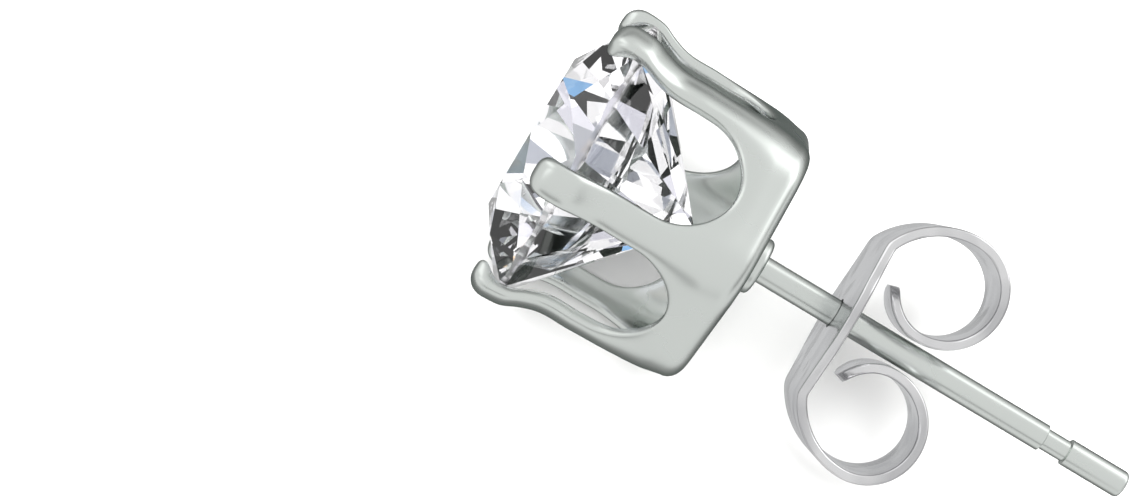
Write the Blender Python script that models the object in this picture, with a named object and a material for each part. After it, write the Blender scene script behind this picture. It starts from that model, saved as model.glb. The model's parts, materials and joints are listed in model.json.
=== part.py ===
"""A stud earring: a round brilliant in a six-prong basket, with a post and a butterfly clutch.

Metres, +Z up. It is drawn standing on the post's own axis: the stone's table looks along +Z, the
basket's flat back face lies at z = 0, and the post runs down from it. The last section lays it on
its side, the way it comes to rest on a table.
"""
import math

import bmesh
import bpy
import numpy as np
from mathutils import Matrix, Vector

for old in list(bpy.data.objects):
    bpy.data.objects.remove(old)

# The stone
STONE_DIAMETER = 0.00800
TABLE_DIAMETER = 0.00440
GIRDLE_THICKNESS = 0.00026
CROWN_ANGLE = math.radians(35.0)
PAVILION_ANGLE = math.radians(40.7)
STAR_SHARE = 0.52
LOWER_HALF_SHARE = 0.77
GIRDLE_HEIGHT = 0.00513

# The basket that holds it
PRONGS = 6
FIRST_PRONG_ANGLE = math.radians(19.0)
BASE_RADIUS = 0.00372
BASE_ROUNDING = 0.00045
PLAN_ROUNDING = 0.00160
WALL = 0.00038
FLOOR = 0.00040
FLOOR_FILLET = 0.00015
PRONG_WIDTH = 0.00102
GRIP_THICKNESS = 0.00037
SEAT_CLEARANCE = 0.00008
CLAW_HEIGHT = 0.00085
CLAW_OVERHANG = 0.00023
WINDOW_SILL = 0.00128
WINDOW_ARC = 0.00155

# The post behind it
COLLAR_DIAMETER = 0.00160
COLLAR_LENGTH = 0.00050
COLLAR_ROUNDING = 0.00014
POST_DIAMETER = 0.00075
POST_LENGTH = 0.01170
POST_END_ROUNDING = 0.00012
NOTCH_DEPTH = 0.00008
NOTCH_LENGTH = 0.00074
NOTCH_TO_TIP = 0.00176

# The butterfly clutch on the post
CLUTCH_PLACE = 0.002915
CLUTCH_THICKNESS = 0.00027
CLUTCH_EDGE_ROUNDING = 0.00008
PLATE_WIDTH = 0.00460
BEND_WIDTH = 0.00340
CURL_WIDTH = 0.00180
CLUTCH_CLEARANCE = 0.00006
PLATE_BEND_RADIUS = 0.00040
CURL_FLARE_RADIUS = 0.00220
CURL_RADIUS = 0.00145
CURL_END_RADIUS = 0.00118

# Densities of silver and of the zirconia stone, in kg per cubic metre
SILVER = 10300.0
ZIRCONIA = 5800.0

# The side it lies on is the one between the prongs farthest from this angle
UPPER_SIDE_ANGLE = FIRST_PRONG_ANGLE + 1.5 * math.tau / PRONGS

# A prong's run: station 0 is the back face, 1 the girdle's middle and 2 the claw's top; reach is
# the share of the way out from the base's corner to the grip, grip the share of the thinning from
# the wall to the grip, and claw the share of the overhang over the girdle
PRONG_RUN = {
    "station": np.array([0.00, 0.18, 0.37, 0.60, 0.80, 0.88, 0.96, 1.05, 1.20, 1.50, 1.75, 2.00]),
    "reach": np.array([0.00, 0.30, 0.42, 0.48, 0.54, 0.74, 1.00, 1.05, 1.06, 1.06, 0.98, 0.84]),
    "grip": np.array([0.00, 0.00, 0.00, 0.00, 0.10, 0.60, 1.00, 1.00, 1.00, 1.00, 1.00, 1.00]),
    "claw": np.array([0.00, 0.00, 0.00, 0.00, 0.00, 0.00, 0.00, 0.00, 0.05, 0.75, 1.35, 1.50]),
}
DOME_STATION = 1.50

# Exponents of the rounded sections, where 1 is an ellipse and smaller is squarer
WALL_ROUNDNESS = 0.55
CLAW_ROUNDNESS = 0.75

# How wide the curl's rounded end is at its tip, as a share of the strip
END_SHARE = 0.35

# The strip's width: its place along the strip, in lengths of half the plate, and the width there
STRIP_WIDTHS = {
    "place": np.array([-1.0, 0.0, 1.0, 2.4, 4.0, 9.0]),
    "width": np.array(
        [BEND_WIDTH, PLATE_WIDTH, BEND_WIDTH, (BEND_WIDTH + CURL_WIDTH) / 2, CURL_WIDTH, CURL_WIDTH]
    ),
}

# A curl of the clutch, in arcs from the plate's end to the free end
CURL_ARCS = [
    (PLATE_BEND_RADIUS, math.radians(28)),
    (CURL_FLARE_RADIUS, math.radians(60)),
    (CURL_RADIUS, math.radians(185)),
    (CURL_END_RADIUS, math.radians(70)),
]


def material(name, colour, metallic, roughness):
    made = bpy.data.materials.new(name)
    made.use_nodes = True
    shader = made.node_tree.nodes["Principled BSDF"]
    shader.inputs["Base Color"].default_value = (*colour, 1.0)
    shader.inputs["Metallic"].default_value = metallic
    shader.inputs["Roughness"].default_value = roughness
    return made


def solid(name, vertices, faces, finish):
    """One closed body from points and faces, with the points that coincide made one."""
    mesh = bpy.data.meshes.new(name)
    mesh.from_pydata(vertices, [], faces)
    bm = bmesh.new()
    bm.from_mesh(mesh)
    bmesh.ops.remove_doubles(bm, verts=bm.verts, dist=2e-7)
    bmesh.ops.dissolve_degenerate(bm, edges=bm.edges, dist=2e-7)
    bmesh.ops.recalc_face_normals(bm, faces=bm.faces)
    bm.to_mesh(mesh)
    bm.free()
    mesh.materials.append(finish)
    made = bpy.data.objects.new(name, mesh)
    bpy.context.scene.collection.objects.link(made)
    return made


def grid_faces(rows, columns, first=0, closed=False):
    """Four-sided faces over a grid of points numbered row by row."""
    faces = []
    for row in range(rows - 1):
        for column in range(columns if closed else columns - 1):
            here = first + row * columns + column
            along = first + row * columns + (column + 1) % columns
            faces.append((here, along, along + columns, here + columns))
    return faces


def curve_through(x, knots, values):
    """A smooth curve through the knots, whose slope at each one is taken from its neighbours."""
    slopes = np.gradient(values, knots)
    i = np.clip(np.searchsorted(knots, x, side="right") - 1, 0, len(knots) - 2)
    step = knots[i + 1] - knots[i]
    t = (x - knots[i]) / step
    start = (1 + 2 * t) * (1 - t) ** 2 * values[i] + t * (1 - t) ** 2 * step * slopes[i]
    end = t ** 2 * (3 - 2 * t) * values[i + 1] + t ** 2 * (t - 1) * step * slopes[i + 1]
    return start + end


# The basket, collar and post: cast and soldered, so one solid

HALF_SECTOR = math.pi / PRONGS
SEAT_RADIUS = STONE_DIAMETER / 2 + SEAT_CLEARANCE
GRIP_RADIUS = SEAT_RADIUS + GRIP_THICKNESS


def height_at(station):
    return GIRDLE_HEIGHT * np.minimum(station, 1) + CLAW_HEIGHT * np.maximum(station - 1, 0)


def run_of_prong(column, height):
    return curve_through(height, height_at(PRONG_RUN["station"]), PRONG_RUN[column])


def corner_radius(height):
    """How far out the basket's corners are at a height."""
    return BASE_RADIUS + run_of_prong("reach", height) * (GRIP_RADIUS - BASE_RADIUS)


def thickness(height):
    thinned = WALL + run_of_prong("grip", height) * (GRIP_THICKNESS - WALL)
    return thinned + run_of_prong("claw", height) * CLAW_OVERHANG


def outline_radius(angle, corner):
    """A polygon with round corners, as a radius at an angle from the nearest corner."""
    arc_centre = corner - PLAN_ROUNDING
    reach = PLAN_ROUNDING ** 2 - (arc_centre * np.sin(angle)) ** 2
    on_arc = arc_centre * np.cos(angle) + np.sqrt(np.maximum(reach, 0))
    side = arc_centre * math.cos(HALF_SECTOR) + PLAN_ROUNDING
    on_side = side / np.cos(HALF_SECTOR - angle)
    arc_end = np.arctan2(
        PLAN_ROUNDING * math.sin(HALF_SECTOR), arc_centre + PLAN_ROUNDING * math.cos(HALF_SECTOR)
    )
    return np.where(angle <= arc_end, on_arc, on_side)


def basket_wall(rim_steps, arc_steps, prong_steps, dome_steps, across_steps):
    """The wall from a window's middle to a prong's middle, as angle, radius and height.

    A row is a section of the wall. Its edge runs from the window's sill round the arc and up the
    prong's side, and its root runs along the base to the prong's middle and then up that middle.
    Across a row the points go from the root outside, round the rounded edge, to the root inside.
    """
    turn = np.linspace(0, math.pi / 2, rim_steps + arc_steps + 1)
    arc_height = WINDOW_SILL + WINDOW_ARC * (1 - np.cos(turn))
    dome_height = height_at(np.array(DOME_STATION))
    straight = np.linspace(arc_height[-1], dome_height, prong_steps + 1)[1:]
    lift = np.linspace(0, math.pi / 2, dome_steps + 1)[1:]
    top = height_at(np.array(2.0))
    dome = dome_height + (top - dome_height) * np.sin(lift) ** CLAW_ROUNDNESS
    edge_height = np.concatenate([arc_height, straight, dome])
    shrink = np.concatenate([np.ones(len(arc_height) + prong_steps), np.cos(lift) ** CLAW_ROUNDNESS])

    side_angle = np.arcsin(PRONG_WIDTH / 2 / corner_radius(edge_height)) * shrink
    edge_angle = side_angle.copy()
    edge_angle[: len(turn)] = HALF_SECTOR - (HALF_SECTOR - side_angle[: len(turn)]) * np.sin(turn)
    root_angle = np.zeros_like(edge_height)
    root_angle[: rim_steps + 1] = HALF_SECTOR * (1 - np.linspace(0, 1, rim_steps + 1))

    swing = np.linspace(math.pi / 2, -math.pi / 2, across_steps + 1)
    out = np.abs(np.cos(swing)) ** WALL_ROUNDNESS
    out[[0, -1]] = 0.0
    depth = 0.5 - 0.5 * np.sign(np.sin(swing)) * np.abs(np.sin(swing)) ** WALL_ROUNDNESS

    root_outside = BASE_ROUNDING
    root_inside = FLOOR + FLOOR_FILLET
    root_height = np.zeros((len(edge_height), len(swing))) + root_outside
    root_height += (root_inside - root_outside) * depth
    climb = (edge_height - edge_height[rim_steps]) / (dome_height - edge_height[rim_steps])
    climb = np.clip(climb, 0, 1)[:, None]
    root_height = root_height + (dome_height - root_height) * climb
    root_height = np.where(edge_height[:, None] > dome_height, edge_height[:, None], root_height)

    angle = root_angle[:, None] + (edge_angle - root_angle)[:, None] * out
    height = root_height + (edge_height[:, None] - root_height) * out
    outer = outline_radius(angle, corner_radius(height))
    middle = outer - thickness(height) / 2
    radius = middle + (0.5 - depth) * thickness(height) * shrink[:, None]
    return angle, radius, height


def setting_mesh(rim_steps, arc_steps, prong_steps, dome_steps, across_steps, round_steps):
    """The points and faces of the basket, its floor, its back, the collar and the post.

    Each half of each sector is the same three sheets, turned to its place or mirrored there: the
    wall, the back with everything turned behind it, and the floor.
    """
    wall = basket_wall(rim_steps, arc_steps, prong_steps, dome_steps, across_steps)
    rim_angle, rim_radius = wall[0][: rim_steps + 1, 0], wall[1][: rim_steps + 1, 0]
    inner_radius = wall[1][: rim_steps + 1, -1]
    quarter = np.linspace(0, math.pi / 2, round_steps + 1)

    # The base's rounded edge ends on the flat back, and the inside's fillet on the flat floor
    edge = (
        rim_radius[:, None] - BASE_ROUNDING * (1 - np.cos(quarter)),
        BASE_ROUNDING * (1 - np.sin(quarter)) + 0 * rim_radius[:, None],
    )
    fillet = (
        inner_radius[:, None] - FLOOR_FILLET * (1 - np.cos(quarter)),
        FLOOR + FLOOR_FILLET * (1 - np.sin(quarter)) + 0 * rim_radius[:, None],
    )
    profile = post_profile(round_steps)
    back = (
        np.concatenate([edge[0], np.tile(profile[:, 0], (rim_steps + 1, 1))], axis=1),
        np.concatenate([edge[1], np.tile(profile[:, 1], (rim_steps + 1, 1))], axis=1),
    )
    centre = np.zeros((rim_steps + 1, 1))
    floor = (
        np.concatenate([fillet[0], centre], axis=1),
        np.concatenate([fillet[1], centre + FLOOR], axis=1),
    )
    sheets = [wall]
    for radius, height in (back, floor):
        sheets.append((rim_angle[:, None] + 0 * radius, radius, height))

    points, faces = [], []
    first = 0
    for prong in range(PRONGS):
        for hand in (1, -1):
            for angle, radius, height in sheets:
                turned = FIRST_PRONG_ANGLE + prong * math.tau / PRONGS + hand * angle
                place = (radius * np.cos(turned), radius * np.sin(turned), height)
                points.append(np.stack(place, axis=-1).reshape(-1, 3))
                faces += grid_faces(*angle.shape, first=first)
                first += angle.size
    return np.concatenate(points), faces


def post_profile(round_steps):
    """The turned outline behind the back face: collar, post, notch and rounded end."""
    quarter = np.linspace(0, math.pi / 2, round_steps + 1)
    collar, post = COLLAR_DIAMETER / 2, POST_DIAMETER / 2
    notch_end = POST_LENGTH - NOTCH_TO_TIP
    notch_start = notch_end - NOTCH_LENGTH
    rows = [(collar, 0.0)]
    for turn in quarter:
        radius = collar - COLLAR_ROUNDING * (1 - math.cos(turn))
        rows.append((radius, COLLAR_LENGTH - COLLAR_ROUNDING * (1 - math.sin(turn))))
    rows += [
        (post, COLLAR_LENGTH),
        (post, notch_start),
        (post - NOTCH_DEPTH, notch_start + NOTCH_DEPTH / 2),
        (post - NOTCH_DEPTH, notch_end - NOTCH_DEPTH / 2),
        (post, notch_end),
    ]
    for turn in quarter:
        radius = post - POST_END_ROUNDING * (1 - math.cos(turn))
        rows.append((radius, POST_LENGTH - POST_END_ROUNDING * (1 - math.sin(turn))))
    rows.append((0.0, POST_LENGTH))
    return np.array(rows) * (1, -1)


silver = material("rhodium_plated_silver", (0.53, 0.56, 0.54), 1.0, 0.2)
setting = solid(
    "basket_setting_and_post",
    *setting_mesh(
        rim_steps=3, arc_steps=2, prong_steps=9, dome_steps=3, across_steps=8, round_steps=3
    ),
    silver,
)


# The stone: a short cylinder, ground with the facets of a round brilliant

def facet_planes():
    """Three points of each facet's plane, with the same facets round the stone eight times."""
    girdle = STONE_DIAMETER / 2
    table = TABLE_DIAMETER / 2
    upper, lower = GIRDLE_THICKNESS / 2, -GIRDLE_THICKNESS / 2
    eighth = math.tau / 8

    def point(radius, angle, height):
        return Vector((radius * math.cos(angle), radius * math.sin(angle), height))

    table_height = upper + (girdle - table) * math.tan(CROWN_ANGLE)
    culet_depth = lower - girdle * math.tan(PAVILION_ANGLE)
    table_middle = table * math.cos(eighth / 2)
    star_radius = table_middle + STAR_SHARE * (girdle - table_middle)
    star_height = upper + (girdle - star_radius * math.cos(eighth / 2)) * math.tan(CROWN_ANGLE)
    tip_radius = (1 - LOWER_HALF_SHARE) * girdle
    tip_height = lower - (girdle - tip_radius * math.cos(eighth / 2)) * math.tan(PAVILION_ANGLE)

    planes = [tuple(point(table, step * eighth, table_height) for step in range(3))]
    for step in range(8):
        main = step * eighth
        between = main + eighth / 2
        star_tip = point(star_radius, between, star_height)
        star_before = point(star_radius, between - eighth, star_height)
        low_tip = point(tip_radius, between, tip_height)
        low_before = point(tip_radius, between - eighth, tip_height)
        table_corners = [point(table, corner, table_height) for corner in (main, main + eighth)]
        planes.append((point(girdle, main, upper), star_tip, star_before))
        planes.append((star_tip, *table_corners))
        planes.append((point(girdle, main, lower), low_tip, low_before))
        for corner in (main, main + eighth):
            planes.append((star_tip, point(girdle, corner, upper), point(girdle, between, upper)))
            planes.append((low_tip, point(girdle, corner, lower), point(girdle, between, lower)))
    return planes, table_height, culet_depth


def cut_stone(name, finish):
    planes, table_height, culet_depth = facet_planes()
    bm = bmesh.new()
    bmesh.ops.create_cone(
        bm, cap_ends=True, segments=64, radius1=STONE_DIAMETER / 2, radius2=STONE_DIAMETER / 2,
        depth=2.5 * max(table_height, -culet_depth),
    )
    for first, second, third in planes:
        normal = (second - first).cross(third - first).normalized()
        if normal.dot(first) < 0:
            normal.negate()
        geometry = list(bm.verts) + list(bm.edges) + list(bm.faces)
        cut = bmesh.ops.bisect_plane(
            bm, geom=geometry, dist=1e-8, plane_co=first, plane_no=normal, clear_outer=True
        )
        rim = [part for part in cut["geom_cut"] if isinstance(part, bmesh.types.BMEdge)]
        bmesh.ops.edgeloop_fill(bm, edges=[edge for edge in rim if edge.is_boundary])
    bmesh.ops.remove_doubles(bm, verts=bm.verts, dist=2e-7)
    bmesh.ops.recalc_face_normals(bm, faces=bm.faces)
    mesh = bpy.data.meshes.new(name)
    bm.to_mesh(mesh)
    bm.free()
    mesh.materials.append(finish)
    made = bpy.data.objects.new(name, mesh)
    bpy.context.scene.collection.objects.link(made)
    made.location = (0, 0, GIRDLE_HEIGHT)
    return made


zirconia = material("cut_zirconia", (0.9, 0.9, 0.93), 0.0, 0.05)
stone = cut_stone("stone", zirconia)


# The butterfly clutch: one strip, wide at the plate, whose two ends curl back and grip the post

def curl_path(steps_per_arc):
    """One half of the clutch's middle line, as distance from the post, depth behind, heading, run.

    It goes out along the plate and then through the arcs. The plate's length puts the curl's
    nearest point just clear of the post.
    """
    headings, places, runs = [0.0], [(0.0, 0.0)], [0.0]
    for radius, turn in CURL_ARCS:
        steps = max(2, round(steps_per_arc * turn))
        for _ in range(steps):
            before, after = headings[-1], headings[-1] + turn / steps
            out, back = places[-1]
            out += radius * (math.sin(after) - math.sin(before))
            back += radius * (math.cos(before) - math.cos(after))
            headings.append(after)
            places.append((out, back))
            runs.append(runs[-1] + radius * turn / steps)
    places, headings, runs = np.array(places), np.array(headings), np.array(runs)
    nearest = POST_DIAMETER / 2 + CLUTCH_CLEARANCE + CLUTCH_THICKNESS / 2
    plate = nearest - places[:, 0].min()
    along_plate = np.linspace(0, plate, 6)[:-1]
    out = np.concatenate([along_plate, places[:, 0] + plate])
    back = np.concatenate([0 * along_plate, places[:, 1]])
    heading = np.concatenate([0 * along_plate, headings])
    run = np.concatenate([along_plate, runs + plate])
    return out, back, heading, run, plate


def rounded_rectangle(widths, corner_steps):
    """Points round the strip's section, as places across and through it, a row for each width."""
    corner = np.arange(4)[:, None] * math.pi / 2
    turn = (corner + np.linspace(0, math.pi / 2, corner_steps + 1)).reshape(-1)
    middle = np.repeat(corner + math.pi / 4, corner_steps + 1)
    across = np.sign(np.cos(middle)) * (widths[:, None] / 2 - CLUTCH_EDGE_ROUNDING)
    through = np.sign(np.sin(middle)) * (CLUTCH_THICKNESS / 2 - CLUTCH_EDGE_ROUNDING)
    across = across + CLUTCH_EDGE_ROUNDING * np.cos(turn)
    return across, through + CLUTCH_EDGE_ROUNDING * np.sin(turn)


def clutch_mesh(steps_per_arc, corner_steps):
    """The strip's section carried along the path, from one free end to the other."""
    out, back, heading, run, plate = curl_path(steps_per_arc)
    width = curve_through(run / plate, STRIP_WIDTHS["place"], STRIP_WIDTHS["width"])
    to_end = np.clip((run[-1] - run) / (CURL_WIDTH / 2), 0, 1)
    width = width * (END_SHARE + (1 - END_SHARE) * np.sqrt(1 - (1 - to_end) ** 2))
    across, through = rounded_rectangle(width, corner_steps)

    halves = []
    for hand in (1, -1):
        x = out[:, None] - through * np.sin(heading)[:, None]
        z = -back[:, None] - through * np.cos(heading)[:, None]
        halves.append(np.stack([hand * x, across, z], axis=-1))
    rows = np.concatenate([halves[1][:0:-1], halves[0]])
    count, columns = rows.shape[:2]
    faces = grid_faces(count, columns, closed=True)
    faces.append(tuple(range(columns)))
    faces.append(tuple(range((count - 1) * columns, count * columns)))
    return rows.reshape(-1, 3), faces


def hole_cutter():
    bm = bmesh.new()
    radius = POST_DIAMETER / 2 + CLUTCH_CLEARANCE
    bmesh.ops.create_cone(
        bm, cap_ends=True, segments=24, radius1=radius, radius2=radius, depth=4 * CLUTCH_THICKNESS
    )
    mesh = bpy.data.meshes.new("post_hole")
    bm.to_mesh(mesh)
    bm.free()
    cutter = bpy.data.objects.new("post_hole", mesh)
    bpy.context.scene.collection.objects.link(cutter)
    cutter.hide_render = True
    cutter.display_type = "WIRE"
    return cutter


clutch_silver = material("clutch_silver", (0.66, 0.67, 0.67), 1.0, 0.25)
clutch = solid("butterfly_clutch", *clutch_mesh(steps_per_arc=5.0, corner_steps=2), clutch_silver)
post_hole = hole_cutter()
hole = clutch.modifiers.new("post_hole", "BOOLEAN")
hole.object = post_hole
for piece in (clutch, post_hole):
    piece.location = (0, 0, -CLUTCH_PLACE)


# At rest the earring lies on two prongs and one curl, so the whole of it is tipped onto them

def world_mesh(piece):
    evaluated = piece.evaluated_get(bpy.context.evaluated_depsgraph_get())
    bm = bmesh.new()
    bm.from_mesh(evaluated.to_mesh())
    bm.transform(piece.matrix_world)
    bmesh.ops.triangulate(bm, faces=bm.faces)
    return bm


def centre_of_mass(weighted_pieces):
    total, moment = 0.0, Vector()
    for piece, density in weighted_pieces:
        bm = world_mesh(piece)
        for face in bm.faces:
            a, b, c = (vertex.co for vertex in face.verts)
            mass = density * a.dot(b.cross(c)) / 6
            total += mass
            moment += mass * (a + b + c) / 4
        bm.free()
    return moment / total


def resting_normal(pieces, centre, down):
    """The downward normal of the hull's face that the centre stands over, nearest to one side."""
    hull = bmesh.new()
    for piece in pieces:
        bm = world_mesh(piece)
        for vertex in bm.verts:
            hull.verts.new(vertex.co)
        bm.free()
    bmesh.ops.convex_hull(hull, input=hull.verts)
    best = None
    for face in hull.faces:
        face.normal_update()
        if face.normal.dot(face.verts[0].co - centre) < 0:
            face.normal_flip()
        corners = [vertex.co for vertex in face.verts]
        turns = []
        for here, there in zip(corners, corners[1:] + corners[:1]):
            turns.append((there - here).cross(centre - here).dot(face.normal))
        stands = min(turns) >= 0
        if stands and (best is None or face.normal.dot(down) > best.dot(down)):
            best = face.normal.copy()
    hull.free()
    return best


bpy.context.view_layer.update()
pieces = [setting, stone, clutch]
centre = centre_of_mass([(setting, SILVER), (stone, ZIRCONIA), (clutch, SILVER)])
down = Vector((-math.cos(UPPER_SIDE_ANGLE), -math.sin(UPPER_SIDE_ANGLE), 0))
up = -resting_normal(pieces, centre, down)
post_way = Vector((0, 0, -1))
ahead = (post_way - post_way.dot(up) * up).normalized()
lying = Matrix((ahead, up.cross(ahead), up)).to_4x4()

earring = bpy.data.objects.new("earring", None)
bpy.context.scene.collection.objects.link(earring)
for piece in pieces + [post_hole]:
    piece.parent = earring
corners = []
for piece in pieces:
    bm = world_mesh(piece)
    corners += [lying @ vertex.co for vertex in bm.verts]
    bm.free()
low = [min(corner[axis] for corner in corners) for axis in range(3)]
high = [max(corner[axis] for corner in corners) for axis in range(3)]
foot = Vector(((low[0] + high[0]) / 2, (low[1] + high[1]) / 2, low[2]))
earring.matrix_world = Matrix.Translation(-foot) @ lying

for piece in pieces:
    piece.data.shade_smooth()
    piece.data.set_sharp_from_angle(angle=math.radians(30))
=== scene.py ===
import json
import math

import bmesh
import bpy
import numpy as np
from mathutils import Matrix, Vector


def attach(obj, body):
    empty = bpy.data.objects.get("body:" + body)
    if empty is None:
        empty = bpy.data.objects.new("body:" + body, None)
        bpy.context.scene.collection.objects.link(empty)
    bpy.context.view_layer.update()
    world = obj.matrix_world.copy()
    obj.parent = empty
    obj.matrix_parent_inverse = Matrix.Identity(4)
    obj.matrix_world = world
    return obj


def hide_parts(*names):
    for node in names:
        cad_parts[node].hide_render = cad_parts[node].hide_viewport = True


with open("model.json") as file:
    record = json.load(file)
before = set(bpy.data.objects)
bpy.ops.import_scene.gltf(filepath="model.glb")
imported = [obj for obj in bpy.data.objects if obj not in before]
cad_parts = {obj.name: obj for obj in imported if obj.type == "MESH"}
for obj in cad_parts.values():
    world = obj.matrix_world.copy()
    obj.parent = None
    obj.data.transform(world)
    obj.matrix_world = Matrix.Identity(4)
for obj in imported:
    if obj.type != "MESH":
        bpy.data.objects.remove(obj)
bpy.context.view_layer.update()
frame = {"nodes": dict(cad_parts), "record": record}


# How the earring lies
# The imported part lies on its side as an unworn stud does. Its own axes are read from the record's
# two flat faces: X and Y across the post, Z from the post's tip towards the stone's table, with
# the middle of the basket's back face at the origin. All the pieces are drawn in those axes.

BACK_MOUNT_OUT = 0.0020
PLATE_MOUNT_BEHIND = 0.00278

mounts = {mount["name"]: mount for mount in frame["record"]["mounts"]}
back_mount = Vector(mounts["basket_back"]["pos_m"])
plate_mount = Vector(mounts["clutch_plate"]["pos_m"])
post_way = Vector(mounts["basket_back"]["axis"]).normalized()
sideways = PLATE_MOUNT_BEHIND * post_way - (plate_mount - back_mount)
own_x = (sideways - sideways.dot(post_way) * post_way).normalized()
own_z = -post_way
own_axes = np.array([own_x, own_z.cross(own_x), own_z])
own_origin = np.array(back_mount - BACK_MOUNT_OUT * own_x)


def placed(points):
    """Points from the earring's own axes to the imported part's: each coordinate times its axis."""
    return own_origin + np.asarray(points, float) @ own_axes


# The table it lies on, the light and the camera
# A plain white sheet under an even white light tent, with three soft boxes, dark gaps between
# them and a dark ring below, which give the polished metal its edges.

def linear(code):
    """An sRGB hex colour as linear light: each channel's curve undone."""
    channel = np.array([int(code[at:at + 2], 16) for at in (1, 3, 5)]) / 255
    light = np.where(channel <= 0.04045, channel / 12.92, ((channel + 0.055) / 1.055) ** 2.4)
    return (*light.tolist(), 1.0)


def add(tree, kind, sockets=None, **settings):
    """Adds a node with its settings; a socket is given a value, or a link from another socket."""
    node = tree.nodes.new(kind)
    for name, value in settings.items():
        setattr(node, name, value)
    for name, value in (sockets or {}).items():
        if isinstance(value, bpy.types.NodeSocket):
            tree.links.new(value, node.inputs[name])
        else:
            node.inputs[name].default_value = value
    return node


def material(name):
    """A new node material, as its tree and its Principled shader."""
    made = bpy.data.materials.new(name)
    made.use_nodes = True
    return made, made.node_tree, made.node_tree.nodes["Principled BSDF"]


TABLE_SIZE = 1.2

# Matt white paper: it takes a soft shadow and shows no gloss. Mirrors and the stone don't see it,
# so it stays out of their reflections
sheet_finish, tree, shader = material("matt_white_paper")
shader.inputs["Base Color"].default_value = linear("#F6F6F5")
shader.inputs["Roughness"].default_value = 0.9
shader.inputs["Specular IOR Level"].default_value = 0.2
sheet = bpy.data.meshes.new("white_sheet")
half = TABLE_SIZE / 2
corners = [(-half, -half, 0), (half, -half, 0), (half, half, 0), (-half, half, 0)]
sheet.from_pydata(corners, [], [(0, 1, 2, 3)])
sheet.materials.append(sheet_finish)
table = bpy.data.objects.new("white_sheet", sheet)
bpy.context.scene.collection.objects.link(table)
table.visible_glossy = False
table.visible_transmission = False

# A lamp overhead that lights the paper alone: no ray that has met metal or stone sees it
FILL_SIZE = 0.30
FILL_HEIGHT = 0.25
FILL_WATTS = 1.1
fill = bpy.data.lights.new("overhead_fill", "AREA")
fill.shape = "DISK"
fill.size = FILL_SIZE
fill.energy = FILL_WATTS
overhead = bpy.data.objects.new("overhead_fill", fill)
overhead.location = (0, 0, FILL_HEIGHT)
overhead.visible_glossy = False
overhead.visible_transmission = False
overhead.visible_camera = False
bpy.context.scene.collection.objects.link(overhead)

TENT_LIGHT = 0.745
GAP_LIGHT = 0.15
PANEL_FADE = 0.10
AHEAD = 0.05
# Each soft box: azimuth and elevation of its middle in degrees, how far it reaches across and up
# as slopes from its middle, and its light; a dark gap in the tent is given the same way
SOFT_BOXES = [
    (42.0, 26.0, 0.40, 0.30, 1.6),
    (240.0, 52.0, 0.14, 0.30, 1.2),
    (300.0, 40.0, 0.20, 0.50, 1.2),
]
DARK_GAPS = [
    (95.0, 12.0, 0.50, 0.12),
    (340.0, 8.0, 0.60, 0.12),
    (180.0, 12.0, 0.35, 0.10),
]

# A dark ring under the table that draws thin dark lines along rounded edges: the azimuth and
# elevation of its axis, then how near to it a ray points, as a cosine, and the tent's share there
RING_AXIS = (345.0, -72.0)
RING_SHARES = [(0.00, 1.0), (0.30, 1.0), (0.50, 0.45), (0.80, 0.45), (0.90, 1.0)]

world = bpy.data.worlds.new("light_tent")
world.use_nodes = True
bpy.context.scene.world = world
tree = world.node_tree
tree.nodes.clear()
way = add(tree, "ShaderNodeTexCoord").outputs["Generated"]


def direction(azimuth, elevation):
    """The unit vector at an azimuth, clockwise from +Y, and an elevation, both in degrees."""
    turn, lift = math.radians(azimuth), math.radians(elevation)
    return Vector((math.sin(turn) * math.cos(lift), math.cos(turn) * math.cos(lift), math.sin(lift)))


def panel(azimuth, elevation, reach_across, reach_up):
    """A soft-edged rectangle on the tent: 1 where a ray's slopes across and up are within its reach."""
    facing = direction(azimuth, elevation)
    across = facing.cross(Vector((0, 0, 1))).normalized()
    upward = across.cross(facing)
    ahead = add(tree, "ShaderNodeVectorMath", {0: way, 1: facing}, operation="DOT_PRODUCT").outputs["Value"]
    inside = add(tree, "ShaderNodeMath", {0: ahead, 1: AHEAD}, operation="GREATER_THAN").outputs[0]
    for axis, reach in ((across, reach_across), (upward, reach_up)):
        along = add(tree, "ShaderNodeVectorMath", {0: way, 1: axis}, operation="DOT_PRODUCT").outputs["Value"]
        slope = add(tree, "ShaderNodeMath", {0: along, 1: ahead}, operation="DIVIDE").outputs[0]
        size = add(tree, "ShaderNodeMath", {0: slope}, operation="ABSOLUTE").outputs[0]
        fade = add(
            tree, "ShaderNodeMapRange",
            {
                "Value": size, "From Min": reach - PANEL_FADE, "From Max": reach + PANEL_FADE,
                "To Min": 1.0, "To Max": 0.0,
            },
            interpolation_type="SMOOTHSTEP",
        ).outputs["Result"]
        inside = add(tree, "ShaderNodeMath", {0: inside, 1: fade}, operation="MULTIPLY").outputs[0]
    return inside


nearness = add(
    tree, "ShaderNodeVectorMath", {0: way, 1: direction(*RING_AXIS)}, operation="DOT_PRODUCT"
).outputs["Value"]
ring = add(tree, "ShaderNodeValToRGB", {"Fac": nearness})
ring.color_ramp.interpolation = "EASE"
while len(ring.color_ramp.elements) < len(RING_SHARES):
    ring.color_ramp.elements.new(0.5)
for element, (start, share) in zip(ring.color_ramp.elements, RING_SHARES):
    element.position = start
    element.color = (share, share, share, 1)
light = add(
    tree, "ShaderNodeMath", {0: ring.outputs["Color"], 1: TENT_LIGHT}, operation="MULTIPLY"
).outputs[0]
panels = [(*gap, GAP_LIGHT) for gap in DARK_GAPS] + SOFT_BOXES
for azimuth, elevation, reach_across, reach_up, strength in panels:
    inside = panel(azimuth, elevation, reach_across, reach_up)
    light = add(
        tree, "ShaderNodeMapRange", {"Value": inside, "To Min": light, "To Max": strength}
    ).outputs["Result"]

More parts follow.
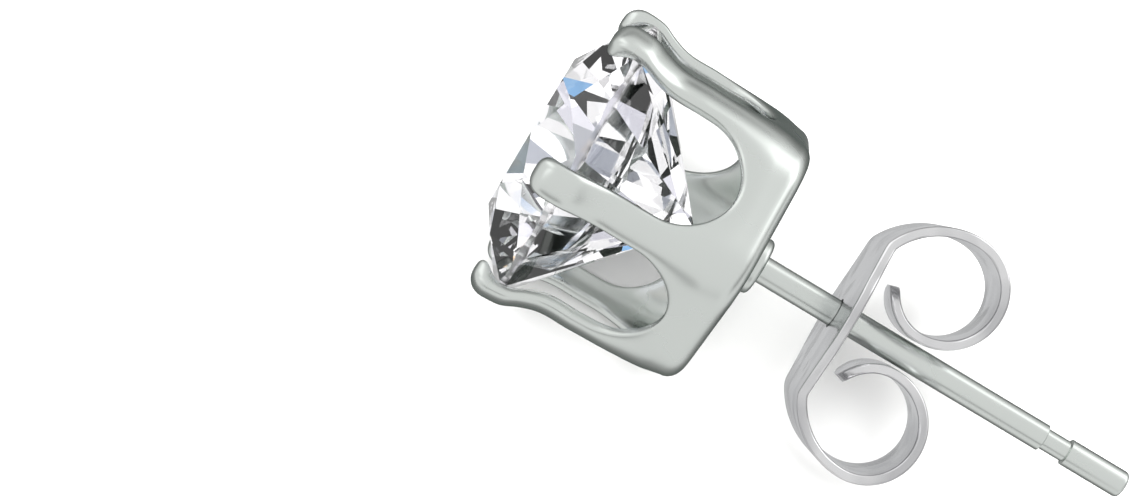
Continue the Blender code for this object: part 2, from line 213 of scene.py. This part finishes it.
# What the stone's facets pick up: small panels of white, grey and black cloth with a few blue and
# amber ones, seen only by rays that have been through the stone
STONE_PANEL_SCALE = 5.5
STONE_PANELS = [
    (0.00, "#060709"), (0.12, "#4A4D54"), (0.16, "#969AA3"), (0.24, "#D0D0D8"), (0.38, "#FFFFFF"),
    (0.965, "#7FAFDB"), (0.988, "#F3D3AC"),
]
STONE_PANEL_SHIFT = (8.3, 1.9, 6.2)
PANEL_DISORDER = 0.9
STONE_SHADE_SCALE = 3.0
STONE_LIGHT = (1.00, 2.00)
BACKDROP_LIGHT = 0.95
shifted = add(tree, "ShaderNodeVectorMath", {0: way, 1: STONE_PANEL_SHIFT}, operation="ADD").outputs["Vector"]
cells = add(
    tree, "ShaderNodeTexVoronoi",
    {"Vector": shifted, "Scale": STONE_PANEL_SCALE, "Randomness": PANEL_DISORDER},
    distance="CHEBYCHEV",
)
pick = add(tree, "ShaderNodeSeparateColor", {"Color": cells.outputs["Color"]}).outputs["Red"]
cloth = add(tree, "ShaderNodeValToRGB", {"Fac": pick})
cloth.color_ramp.interpolation = "CONSTANT"
while len(cloth.color_ramp.elements) < len(STONE_PANELS):
    cloth.color_ramp.elements.new(0.5)
for element, (start, colour) in zip(cloth.color_ramp.elements, STONE_PANELS):
    element.position = start
    element.color = linear(colour)
shade = add(tree, "ShaderNodeTexNoise", {"Vector": way, "Scale": STONE_SHADE_SCALE, "Detail": 1.0})
glint = add(
    tree, "ShaderNodeMapRange",
    {
        "Value": shade.outputs[0], "From Min": 0.3, "From Max": 0.7,
        "To Min": STONE_LIGHT[0], "To Max": STONE_LIGHT[1],
    },
).outputs["Result"]

path = add(tree, "ShaderNodeLightPath").outputs
through = add(tree, "ShaderNodeMath", {0: path["Transmission Depth"], 1: 0.5}, operation="GREATER_THAN")
lit = add(tree, "ShaderNodeBackground", {"Color": (1, 1, 1, 1), "Strength": light})
sparkle = add(tree, "ShaderNodeBackground", {"Color": cloth.outputs["Color"], "Strength": glint})
either = add(
    tree, "ShaderNodeMixShader", {"Fac": through.outputs[0], 1: lit.outputs[0], 2: sparkle.outputs[0]}
)
seen = add(tree, "ShaderNodeBackground", {"Color": linear("#FFFFFF"), "Strength": BACKDROP_LIGHT})
mixed = add(
    tree, "ShaderNodeMixShader", {"Fac": path["Is Camera Ray"], 1: either.outputs[0], 2: seen.outputs[0]}
)
add(tree, "ShaderNodeOutputWorld", {"Surface": mixed.outputs[0]})
bpy.context.scene.view_settings.view_transform = "Standard"

CAMERA_PLACE = (0.00029, 0.06240, 0.00628)
CAMERA_AIM = (0.00219, 0.0, 0.00411)
LENS_MM = 75.5
SENSOR_MM = 36.0
POST_SLOPE = math.radians(30.9)

camera = bpy.data.cameras.new("camera")
camera.lens = LENS_MM
camera.sensor_width = SENSOR_MM
camera.clip_start = 0.001
stand = bpy.data.objects.new("camera", camera)
bpy.context.scene.collection.objects.link(stand)
camera_at = Vector(placed(CAMERA_PLACE))
looking = (Vector(placed(CAMERA_AIM)) - camera_at).normalized()
post_seen = (post_way - post_way.dot(looking) * looking).normalized()
below_post = looking.cross(post_seen)
picture_right = math.cos(POST_SLOPE) * post_seen - math.sin(POST_SLOPE) * below_post
picture_up = picture_right.cross(looking)
facing = Matrix((picture_right, picture_up, -looking)).transposed()
stand.matrix_world = Matrix.Translation(camera_at) @ facing.to_4x4()
bpy.context.scene.camera = stand


# The basket, its collar and the post
# A six-prong basket cast in silver, with its collar and turned post soldered behind it, filed,
# polished and plated with rhodium, so it is one grey-white mirror with softened edges.

PRONGS = 6
FIRST_PRONG_ANGLE = math.radians(19.0)
HALF_SECTOR = math.pi / PRONGS
STONE_DIAMETER = 0.00800
SEAT_CLEARANCE = 0.00008
GIRDLE_HEIGHT = 0.00513
BASE_RADIUS = 0.00372
BASE_ROUNDING = 0.00045
PLAN_ROUNDING = 0.00160
WALL = 0.00038
FLOOR = 0.00040
FLOOR_FILLET = 0.00015
PRONG_WIDTH = 0.00102
GRIP_THICKNESS = 0.00037
CLAW_HEIGHT = 0.00085
CLAW_OVERHANG = 0.00023
WINDOW_SILL = 0.00128
WINDOW_ARC = 0.00155
GRIP_RADIUS = STONE_DIAMETER / 2 + SEAT_CLEARANCE + GRIP_THICKNESS
WALL_ROUNDNESS = 0.50
CLAW_ROUNDNESS = 0.75
DOME_STATION = 1.50

# A prong's run: station 0 is the back face, 1 the girdle's middle and 2 the claw's top; reach is
# the share of the way out from the base's corner to the grip, grip the share of the thinning from
# the wall to the grip, and claw the share of the overhang over the girdle
PRONG_RUN = {
    "station": np.array([0.00, 0.18, 0.37, 0.60, 0.80, 0.88, 0.96, 1.05, 1.20, 1.50, 1.75, 2.00]),
    "reach": np.array([0.00, 0.30, 0.42, 0.48, 0.54, 0.74, 1.00, 1.05, 1.06, 1.06, 0.98, 0.84]),
    "grip": np.array([0.00, 0.00, 0.00, 0.00, 0.10, 0.60, 1.00, 1.00, 1.00, 1.00, 1.00, 1.00]),
    "claw": np.array([0.00, 0.00, 0.00, 0.00, 0.00, 0.00, 0.00, 0.00, 0.05, 0.75, 1.35, 1.50]),
}

COLLAR_RADIUS = 0.00080
COLLAR_LENGTH = 0.00050
COLLAR_ROUNDING = 0.00014
POST_RADIUS = 0.000375
POST_LENGTH = 0.01170
POST_END_ROUNDING = 0.00012
NOTCH_DEPTH = 0.00008
NOTCH_LENGTH = 0.00074
NOTCH_TO_TIP = 0.00176
NOTCH_SLOPE = 0.00003
SOLDER_FILLET = 0.00006


def curve_through(x, knots, values):
    """A smooth curve through the knots, whose slope at each one is taken from its neighbours."""
    slopes = np.gradient(values, knots)
    i = np.clip(np.searchsorted(knots, x, side="right") - 1, 0, len(knots) - 2)
    step = knots[i + 1] - knots[i]
    t = (x - knots[i]) / step
    start = (1 + 2 * t) * (1 - t) ** 2 * values[i] + t * (1 - t) ** 2 * step * slopes[i]
    end = t ** 2 * (3 - 2 * t) * values[i + 1] + t ** 2 * (t - 1) * step * slopes[i + 1]
    return start + end


def height_at(station):
    """A station's height: its share of the girdle's height, and past 1 its share of the claw's."""
    return GIRDLE_HEIGHT * np.minimum(station, 1) + CLAW_HEIGHT * np.maximum(station - 1, 0)


def corner_radius(height):
    """How far out the corners are: from the base's radius by the run's reach towards the grip's."""
    reach = curve_through(height, height_at(PRONG_RUN["station"]), PRONG_RUN["reach"])
    return BASE_RADIUS + reach * (GRIP_RADIUS - BASE_RADIUS)


def thickness(height):
    """The wall's thickness: thinned to the grip's by the run, plus the claw's overhang."""
    stations = height_at(PRONG_RUN["station"])
    thinned = WALL + curve_through(height, stations, PRONG_RUN["grip"]) * (GRIP_THICKNESS - WALL)
    return thinned + curve_through(height, stations, PRONG_RUN["claw"]) * CLAW_OVERHANG


def outline_radius(angle, corner):
    """A hexagon with round corners, in polar form: a circle's arc at a corner, then a straight side."""
    centre = corner - PLAN_ROUNDING
    reach = PLAN_ROUNDING ** 2 - (centre * np.sin(angle)) ** 2
    on_arc = centre * np.cos(angle) + np.sqrt(np.maximum(reach, 0))
    side = centre * math.cos(HALF_SECTOR) + PLAN_ROUNDING
    on_side = side / np.cos(HALF_SECTOR - angle)
    arc_end = np.arctan2(
        PLAN_ROUNDING * math.sin(HALF_SECTOR), centre + PLAN_ROUNDING * math.cos(HALF_SECTOR)
    )
    return np.where(angle <= arc_end, on_arc, on_side)


def basket_wall(rim_steps, arc_steps, prong_steps, dome_steps, across_steps):
    """Half a sector of the wall, as angle, radius and height over a grid.

    A row is one section of the wall. Its edge runs from the window's sill round a quarter ellipse
    and up the prong's side, and its root along the base to the prong's middle and then up it.
    Across a row the points follow a superellipse from the root outside, round the edge, to the
    root inside.
    """
    turn = np.linspace(0, math.pi / 2, rim_steps + arc_steps + 1)
    arc_height = WINDOW_SILL + WINDOW_ARC * (1 - np.cos(turn))
    dome_height = height_at(np.array(DOME_STATION))
    straight = np.linspace(arc_height[-1], dome_height, prong_steps + 1)[1:]
    lift = np.linspace(0, math.pi / 2, dome_steps + 1)[1:]
    dome = dome_height + (height_at(np.array(2.0)) - dome_height) * np.sin(lift) ** CLAW_ROUNDNESS
    edge_height = np.concatenate([arc_height, straight, dome])
    shrink = np.concatenate([np.ones(len(arc_height) + prong_steps), np.cos(lift) ** CLAW_ROUNDNESS])

    side_angle = np.arcsin(PRONG_WIDTH / 2 / corner_radius(edge_height)) * shrink
    edge_angle = side_angle.copy()
    edge_angle[: len(turn)] = HALF_SECTOR - (HALF_SECTOR - side_angle[: len(turn)]) * np.sin(turn)
    root_angle = np.zeros_like(edge_height)
    root_angle[: rim_steps + 1] = HALF_SECTOR * (1 - np.linspace(0, 1, rim_steps + 1))

    swing = np.linspace(math.pi / 2, -math.pi / 2, across_steps + 1)
    out = np.abs(np.cos(swing)) ** WALL_ROUNDNESS
    out[[0, -1]] = 0.0
    depth = 0.5 - 0.5 * np.sign(np.sin(swing)) * np.abs(np.sin(swing)) ** WALL_ROUNDNESS

    inside_root = FLOOR + FLOOR_FILLET
    root_height = BASE_ROUNDING + (inside_root - BASE_ROUNDING) * depth[None, :]
    climb = (edge_height - edge_height[rim_steps]) / (dome_height - edge_height[rim_steps])
    climb = np.clip(climb, 0, 1)[:, None]
    root_height = root_height + (dome_height - root_height) * climb
    root_height = np.where(edge_height[:, None] > dome_height, edge_height[:, None], root_height)

    angle = root_angle[:, None] + (edge_angle - root_angle)[:, None] * out
    height = root_height + (edge_height[:, None] - root_height) * out
    outer = outline_radius(angle, corner_radius(height))
    middle = outer - thickness(height) / 2
    radius = middle + (0.5 - depth) * thickness(height) * shrink[:, None]
    return angle, radius, height


def corner_arc(radius, height, rounding, inward, downward, steps):
    """A quarter circle between two directions, as radius and height, from a corner's two sides."""
    quarter = np.linspace(0, math.pi / 2, steps + 1)
    return np.stack([
        radius + inward * rounding * (1 - np.cos(quarter)),
        height + downward * rounding * np.sin(quarter),
    ], axis=1)


def post_profile(steps):
    """What is turned behind the back face, as radius and height: fillets and rounded edges are arcs."""
    notch_end = POST_LENGTH - NOTCH_TO_TIP
    notch_start = notch_end - NOTCH_LENGTH
    quarter = np.linspace(0, math.pi / 2, steps + 1)[:, None]
    solder = np.hstack([
        COLLAR_RADIUS + SOLDER_FILLET * (1 - np.sin(quarter)), SOLDER_FILLET * (1 - np.cos(quarter))
    ])
    joint = np.hstack([
        POST_RADIUS + SOLDER_FILLET * (1 - np.sin(quarter)),
        COLLAR_LENGTH + SOLDER_FILLET * (1 - np.cos(quarter)),
    ])
    groove = np.array([
        (POST_RADIUS, notch_start),
        (POST_RADIUS - NOTCH_DEPTH, notch_start + NOTCH_SLOPE),
        (POST_RADIUS - NOTCH_DEPTH, notch_end - NOTCH_SLOPE),
        (POST_RADIUS, notch_end),
    ])
    rows = np.concatenate([
        solder,
        corner_arc(COLLAR_RADIUS, COLLAR_LENGTH - COLLAR_ROUNDING, COLLAR_ROUNDING, -1, 1, steps),
        joint,
        groove,
        corner_arc(POST_RADIUS, POST_LENGTH - POST_END_ROUNDING, POST_END_ROUNDING, -1, 1, steps),
        [(0.0, POST_LENGTH)],
    ])
    return rows * (1, -1)


def setting_sheets(rim_steps, arc_steps, prong_steps, dome_steps, across_steps, round_steps):
    """The wall, the back with what is turned behind it, and the floor: three sheets of half a sector."""
    wall = basket_wall(rim_steps, arc_steps, prong_steps, dome_steps, across_steps)
    rim = [sheet[: rim_steps + 1] for sheet in wall]
    quarter = np.linspace(0, math.pi / 2, round_steps + 1)
    profile = post_profile(round_steps)
    level = np.ones((rim_steps + 1, 1))
    back_radius = np.hstack([rim[1][:, :1] - BASE_ROUNDING * (1 - np.cos(quarter)), level * profile[:, 0]])
    back_height = np.hstack([level * BASE_ROUNDING * (1 - np.sin(quarter)), level * profile[:, 1]])
    floor_radius = np.hstack([rim[1][:, -1:] - FLOOR_FILLET * (1 - np.cos(quarter)), 0 * level])
    floor_height = np.hstack([level * (FLOOR + FLOOR_FILLET * (1 - np.sin(quarter))), level * FLOOR])
    along = rim[0][:, :1]
    return [
        wall,
        (along + 0 * back_radius, back_radius, back_height),
        (along + 0 * floor_radius, floor_radius, floor_height),
    ]


def quads(copies, rows, columns, closed=False):
    """A grid's faces, for each copy: every point with its neighbours one row and one column on."""
    row, column = np.meshgrid(
        np.arange(rows - 1), np.arange(columns if closed else columns - 1), indexing="ij"
    )
    here = row * columns + column
    beside = row * columns + (column + 1) % columns
    faces = np.stack([here, beside, beside + columns, here + columns], axis=-1).reshape(-1, 4)
    return (np.arange(copies)[:, None, None] * rows * columns + faces).reshape(-1, 4)


def piece(name, points, faces, finish):
    """A closed piece in the part's frame: coinciding points become one and its faces turn outwards."""
    mesh = bpy.data.meshes.new(name)
    mesh.from_pydata(placed(points), [], faces)
    work = bmesh.new()
    work.from_mesh(mesh)
    bmesh.ops.remove_doubles(work, verts=work.verts, dist=2e-7)
    bmesh.ops.dissolve_degenerate(work, edges=work.edges, dist=1e-7)
    bmesh.ops.recalc_face_normals(work, faces=work.faces)
    work.to_mesh(mesh)
    work.free()
    mesh.shade_smooth()
    mesh.materials.append(finish)
    made = bpy.data.objects.new(name, mesh)
    bpy.context.scene.collection.objects.link(made)
    return made


def setting_mesh(sheets):
    """Every sheet turned to each prong's angle and mirrored there, as points and faces."""
    prong = np.arange(PRONGS)[:, None, None, None] * math.tau / PRONGS + FIRST_PRONG_ANGLE
    hand = np.array([1, -1])[None, :, None, None]
    points, faces, first = [], [], 0
    for angle, radius, height in sheets:
        turned = prong + hand * angle
        place = np.stack([radius * np.cos(turned), radius * np.sin(turned), height + 0 * turned], axis=-1)
        points.append(place.reshape(-1, 3))
        faces.append(quads(2 * PRONGS, *angle.shape) + first)
        first += place.size // 3
    return np.concatenate(points), np.concatenate(faces).tolist()


# Rhodium-plated silver: a cool grey mirror, faintly rippled by casting and hand polishing, whose
# reflection darkens at glancing angles and whose gloss varies in soft cloudy patches
rhodium, tree, shader = material("rhodium_plate_on_cast_silver")
RIPPLE_MM = 0.9
RIPPLE_DEPTH = 0.00002
RIPPLE_SHARE = 0.12
HAZE_MM = 2.5
RHODIUM_ROUGHNESS = (0.24, 0.32)
place = add(tree, "ShaderNodeTexCoord").outputs["Object"]
ripple = add(tree, "ShaderNodeTexNoise", {"Vector": place, "Scale": 1000 / RIPPLE_MM, "Detail": 2.0})
haze = add(tree, "ShaderNodeTexNoise", {"Vector": place, "Scale": 1000 / HAZE_MM, "Detail": 4.0})
bump = add(
    tree, "ShaderNodeBump", {"Height": ripple.outputs[0], "Strength": RIPPLE_SHARE, "Distance": RIPPLE_DEPTH}
)
gloss = add(
    tree, "ShaderNodeMapRange",
    {
        "Value": haze.outputs[0], "From Min": 0.3, "From Max": 0.7,
        "To Min": RHODIUM_ROUGHNESS[0], "To Max": RHODIUM_ROUGHNESS[1],
    },
)
tree.links.new(bump.outputs["Normal"], shader.inputs["Normal"])
tree.links.new(gloss.outputs["Result"], shader.inputs["Roughness"])
shader.inputs["Metallic"].default_value = 1.0
shader.inputs["Base Color"].default_value = linear("#E8EDE9")
shader.inputs["Specular Tint"].default_value = linear("#5E6663")

setting = piece(
    "cast_basket_and_post",
    *setting_mesh(setting_sheets(
        rim_steps=10, arc_steps=6, prong_steps=30, dome_steps=8, across_steps=28, round_steps=6
    )),
    rhodium,
)
setting.data.set_sharp_from_angle(angle=math.radians(38))
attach(setting, "stud")
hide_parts("basket_setting_and_post")


# The stone
# A round brilliant ground from clear, all but colourless zirconia, with 57 facets and a girdle,
# held by the six claws.

ZIRCONIA_IOR = 2.16
FROST_STARTS = 0.00393
FROST_FULL = 0.00398
FROST = 0.10
POLISH_MM = 0.8
POLISH = 0.006
# Clear zirconia, cut on a wheel and polished. The high index makes the facets flash black and white,
# the girdle is left finely ground and reads as a soft grey line, and the polish is a little less
# sharp in places.
stone_finish, tree, shader = material("cut_and_polished_zirconia")
shader.inputs["Base Color"].default_value = linear("#FBFAFC")
shader.inputs["Transmission Weight"].default_value = 1.0
shader.inputs["IOR"].default_value = ZIRCONIA_IOR
spot = add(tree, "ShaderNodeTexCoord").outputs["Object"]
from_origin = add(
    tree, "ShaderNodeVectorMath", {0: spot, 1: own_origin}, operation="SUBTRACT"
).outputs["Vector"]
off_post = add(
    tree, "ShaderNodeVectorMath", {0: from_origin, 1: own_z}, operation="CROSS_PRODUCT"
).outputs["Vector"]
off_axis = add(tree, "ShaderNodeVectorMath", {0: off_post}, operation="LENGTH").outputs["Value"]
rubbed = add(tree, "ShaderNodeTexNoise", {"Vector": spot, "Scale": 1000 / POLISH_MM}).outputs[0]
polish = add(
    tree, "ShaderNodeMapRange", {"Value": rubbed, "From Min": 0.45, "From Max": 0.75, "To Max": POLISH}
)
frost = add(
    tree, "ShaderNodeMapRange",
    {
        "Value": off_axis, "From Min": FROST_STARTS, "From Max": FROST_FULL,
        "To Min": polish.outputs["Result"], "To Max": FROST,
    },
)
tree.links.new(frost.outputs["Result"], shader.inputs["Roughness"])
stone = frame["nodes"]["stone"]
stone.data.materials.clear()
stone.data.materials.append(stone_finish)


# The butterfly clutch
# One strip of silver, blanked wide in the middle, punched for the post and rolled at both ends
# into springs that grip it.

PLATE_BEHIND = 0.002915
CLUTCH_THICKNESS = 0.00027
CLUTCH_EDGE_ROUNDING = 0.00008
PLATE_WIDTH = 0.00460
BEND_WIDTH = 0.00340
CURL_WIDTH = 0.00180
CLUTCH_CLEARANCE = 0.00006
# The strip's width at places along it, where 0 is the plate's middle and 1 its first bend
STRIP_WIDTHS = {
    "place": np.array([-1.0, 0.0, 1.0, 2.4, 4.0, 9.0]),
    "width": np.array([
        BEND_WIDTH, PLATE_WIDTH, BEND_WIDTH, 0.5 * (BEND_WIDTH + CURL_WIDTH), CURL_WIDTH, CURL_WIDTH
    ]),
}
END_SHARE = 0.35
CURL_ARCS = [
    (0.00040, math.radians(28)),
    (0.00220, math.radians(60)),
    (0.00145, math.radians(185)),
    (0.00118, math.radians(70)),
]


def curl_path(spacing):
    """Half the strip's middle line: out along the plate, then along arcs whose turns add up."""
    radius = np.array([arc[0] for arc in CURL_ARCS])
    turn = np.array([arc[1] for arc in CURL_ARCS])
    ends = np.concatenate([[0], np.cumsum(radius * turn)])
    run = np.linspace(0, ends[-1], int(ends[-1] / spacing))
    heading = np.interp(run, ends, np.concatenate([[0], np.cumsum(turn)]))
    step = np.diff(run)
    middle = (heading[1:] + heading[:-1]) / 2
    out = np.concatenate([[0], np.cumsum(step * np.cos(middle))])
    back = np.concatenate([[0], np.cumsum(step * np.sin(middle))])
    plate = POST_RADIUS + CLUTCH_CLEARANCE + CLUTCH_THICKNESS / 2 - out.min()
    flat = np.linspace(0, plate, 24)[:-1]
    return (
        np.concatenate([flat, out + plate]), np.concatenate([0 * flat, back]),
        np.concatenate([0 * flat, heading]), np.concatenate([flat, run + plate]), plate,
    )


def rounded_rectangle(widths, corner_steps):
    """Points round the strip's section, across and through it: four quarter circles, joined."""
    corner = np.arange(4)[:, None] * math.pi / 2
    turn = (corner + np.linspace(0, math.pi / 2, corner_steps + 1)).reshape(-1)
    middle = np.repeat(corner + math.pi / 4, corner_steps + 1)
    across = np.sign(np.cos(middle)) * (widths[:, None] / 2 - CLUTCH_EDGE_ROUNDING)
    through = np.sign(np.sin(middle)) * (CLUTCH_THICKNESS / 2 - CLUTCH_EDGE_ROUNDING)
    across = across + CLUTCH_EDGE_ROUNDING * np.cos(turn)
    return across, through + CLUTCH_EDGE_ROUNDING * np.sin(turn)


def clutch_mesh(spacing, corner_steps):
    """The section carried along the path and mirrored, from one free end to the other."""
    out, back, heading, run, plate = curl_path(spacing)
    width = curve_through(run / plate, STRIP_WIDTHS["place"], STRIP_WIDTHS["width"])
    to_end = np.clip((run[-1] - run) / (CURL_WIDTH / 2), 0, 1)
    width = width * (END_SHARE + (1 - END_SHARE) * np.sqrt(1 - (1 - to_end) ** 2))
    across, through = rounded_rectangle(width, corner_steps)
    x = out[:, None] - through * np.sin(heading)[:, None]
    z = -back[:, None] - through * np.cos(heading)[:, None] - PLATE_BEHIND
    half = np.stack([x, across, z], axis=-1)
    rows = np.concatenate([half[:0:-1] * (-1, 1, 1), half])
    count, columns = rows.shape[:2]
    faces = quads(1, count, columns, closed=True).tolist()
    faces.append(list(range(columns)))
    faces.append(list(range((count - 1) * columns, count * columns)))
    return rows.reshape(-1, 3), faces


# Sterling strip, cold rolled and tumbled bright: a paler, more neutral mirror than the plated
# basket. It keeps faint lines along its length and gentle waves from forming, and a thin grey bloom
# of tarnish dulls it in patches. The lines are drawn coarser than real ones, so that they show
GRAIN_PER_MM = (0.5, 16.0, 0.5)
WAVE_MM = 1.6
HAZE_MM = 1.3
BLOOM_MM = 2.2
WAVE_DEPTH = 0.00028
GRAIN_DEPTH = 0.000005
GRAIN_SHARE = 0.15
STRIP_ROUGHNESS = (0.16, 0.26)

strip, tree, shader = material("tumbled_sterling_silver_strip")
place = add(tree, "ShaderNodeTexCoord").outputs["Object"]
along_strip = [
    add(tree, "ShaderNodeVectorMath", {0: place, 1: axis.tolist()}, operation="DOT_PRODUCT").outputs["Value"]
    for axis in own_axes * 1000 * np.array(GRAIN_PER_MM)[:, None]
]
grain_place = add(
    tree, "ShaderNodeCombineXYZ", {"X": along_strip[0], "Y": along_strip[1], "Z": along_strip[2]}
).outputs[0]
grain = add(tree, "ShaderNodeTexNoise", {"Vector": grain_place, "Scale": 1.0, "Detail": 3.0}).outputs[0]
wave = add(tree, "ShaderNodeTexNoise", {"Vector": place, "Scale": 1000 / WAVE_MM, "Detail": 1.0}).outputs[0]
haze = add(tree, "ShaderNodeTexNoise", {"Vector": place, "Scale": 1000 / HAZE_MM, "Detail": 4.0}).outputs[0]
bloom = add(tree, "ShaderNodeTexNoise", {"Vector": place, "Scale": 1000 / BLOOM_MM, "Detail": 2.0}).outputs[0]
waved = add(tree, "ShaderNodeBump", {"Height": wave, "Strength": 1.0, "Distance": WAVE_DEPTH}).outputs[0]
lined = add(
    tree, "ShaderNodeBump",
    {"Height": grain, "Normal": waved, "Strength": GRAIN_SHARE, "Distance": GRAIN_DEPTH},
).outputs[0]
gloss = add(
    tree, "ShaderNodeMapRange",
    {
        "Value": haze, "From Min": 0.3, "From Max": 0.7,
        "To Min": STRIP_ROUGHNESS[0], "To Max": STRIP_ROUGHNESS[1],
    },
).outputs["Result"]
tree.links.new(lined, shader.inputs["Normal"])
tree.links.new(gloss, shader.inputs["Roughness"])
shader.inputs["Metallic"].default_value = 1.0
bloomed = add(
    tree, "ShaderNodeMapRange", {"Value": bloom, "From Min": 0.40, "From Max": 0.62},
).outputs["Result"]
tone = add(
    tree, "ShaderNodeMix",
    {"Factor": bloomed, 6: linear("#F4F4F5"), 7: linear("#D3D3D5")}, data_type="RGBA",
).outputs[2]
tree.links.new(tone, shader.inputs["Base Color"])
shader.inputs["Specular Tint"].default_value = linear("#E4E5E6")

# The hole is punched with a round punch a hair wider than the post
PUNCH_SIDES = 64
PUNCH_LENGTH = 0.001
STRIP_SHARP = math.radians(40)
clutch = piece("rolled_butterfly_clutch", *clutch_mesh(spacing=0.00010, corner_steps=5), strip)
punch_mesh = bpy.data.meshes.new("punch")
work = bmesh.new()
punch_radius = POST_RADIUS + CLUTCH_CLEARANCE
bmesh.ops.create_cone(
    work, cap_ends=True, segments=PUNCH_SIDES, radius1=punch_radius, radius2=punch_radius, depth=PUNCH_LENGTH
)
work.to_mesh(punch_mesh)
work.free()
turned = Matrix(own_axes.tolist()).transposed().to_4x4()
punch_mesh.transform(Matrix.Translation(Vector(placed((0, 0, -PLATE_BEHIND)))) @ turned)
punch = bpy.data.objects.new("punch", punch_mesh)
bpy.context.scene.collection.objects.link(punch)
cut = clutch.modifiers.new("post_hole", "BOOLEAN")
cut.object = punch
bpy.context.view_layer.update()
punched = bpy.data.meshes.new_from_object(clutch.evaluated_get(bpy.context.evaluated_depsgraph_get()))
clutch.modifiers.clear()
clutch.data = punched
bpy.data.objects.remove(punch)
punched.set_sharp_from_angle(angle=STRIP_SHARP)
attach(clutch, "clutch")
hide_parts("butterfly_clutch")
